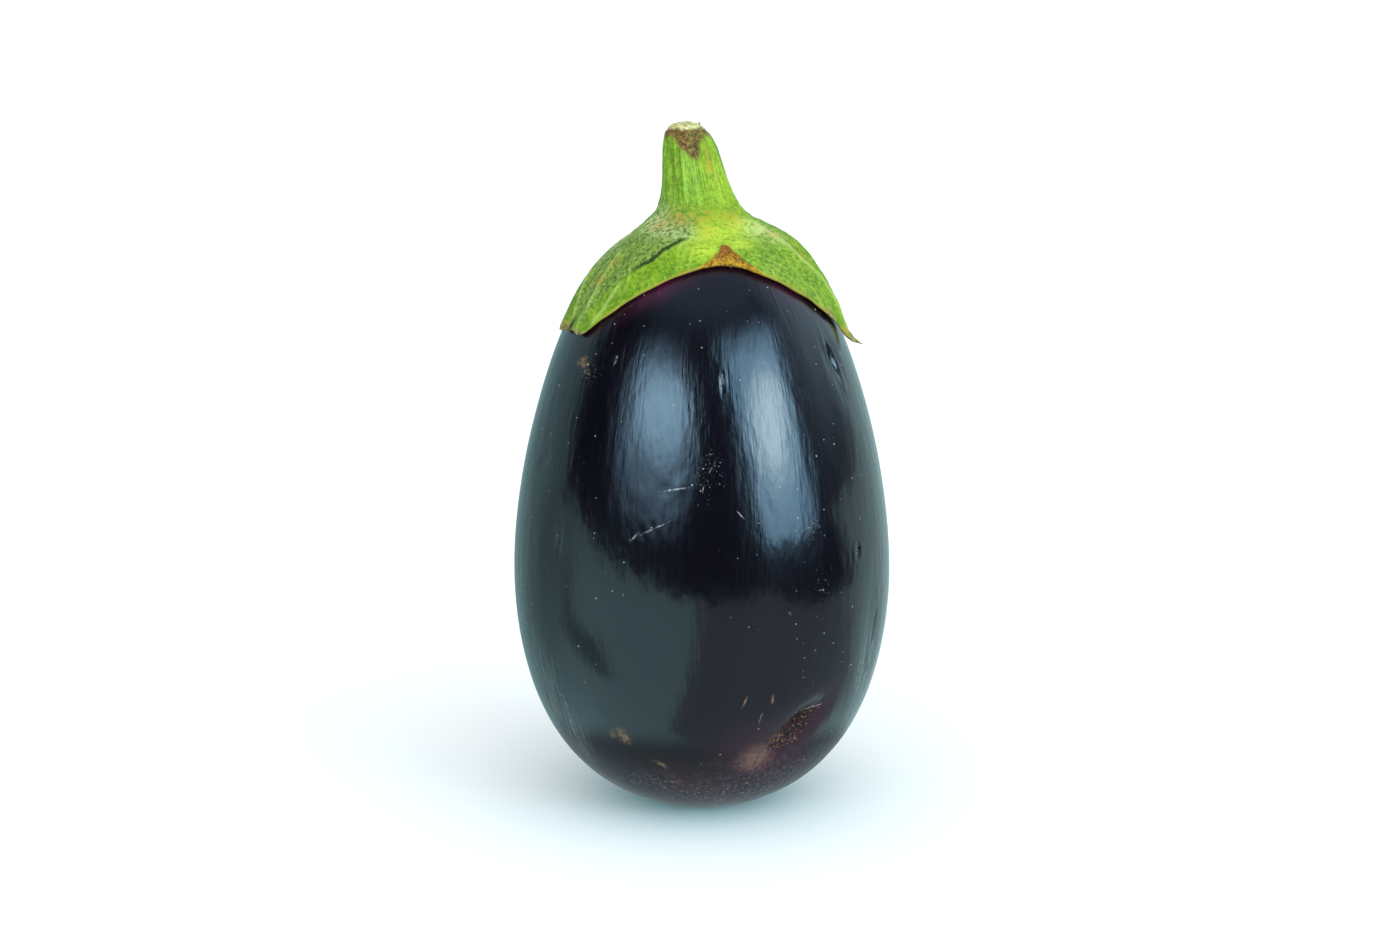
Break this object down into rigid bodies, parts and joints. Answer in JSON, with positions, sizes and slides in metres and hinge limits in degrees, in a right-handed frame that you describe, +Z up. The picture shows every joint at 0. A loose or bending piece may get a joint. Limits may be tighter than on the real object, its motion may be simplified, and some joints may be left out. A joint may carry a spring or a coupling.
{
  "type": "eggplant",
  "caption": "Whole ripe eggplant of the large egg-shaped kind, upright on its blossom end, with a green pointed cap and a short cut stem on top.",
  "frame": {"origin": "middle of the flat spot that the fruit stands on, which is the bottom centre of the bounding box", "axes": "+Z up along the fruit's axis, from the blossom end to the stem; -Y towards the front, the side with the wide notch in the cap and the scar low on its right; +X to the right as seen from the front"},
  "size_m": [0.0906, 0.0912, 0.1648],
  "materials": {
    "skin": "waxy, near-black purple skin with a soft gloss, fine upright streaks, small pale specks and a few scars",
    "cap": "matt, leathery green with paler veins, a dusty bloom, brown cork in the notches and along the edge, and a pale dry cut on the stem"
  },
  "bodies": {
    "root": {"fruit": "skin", "cap_and_stem": "cap"}
  },
  "joints": []
}
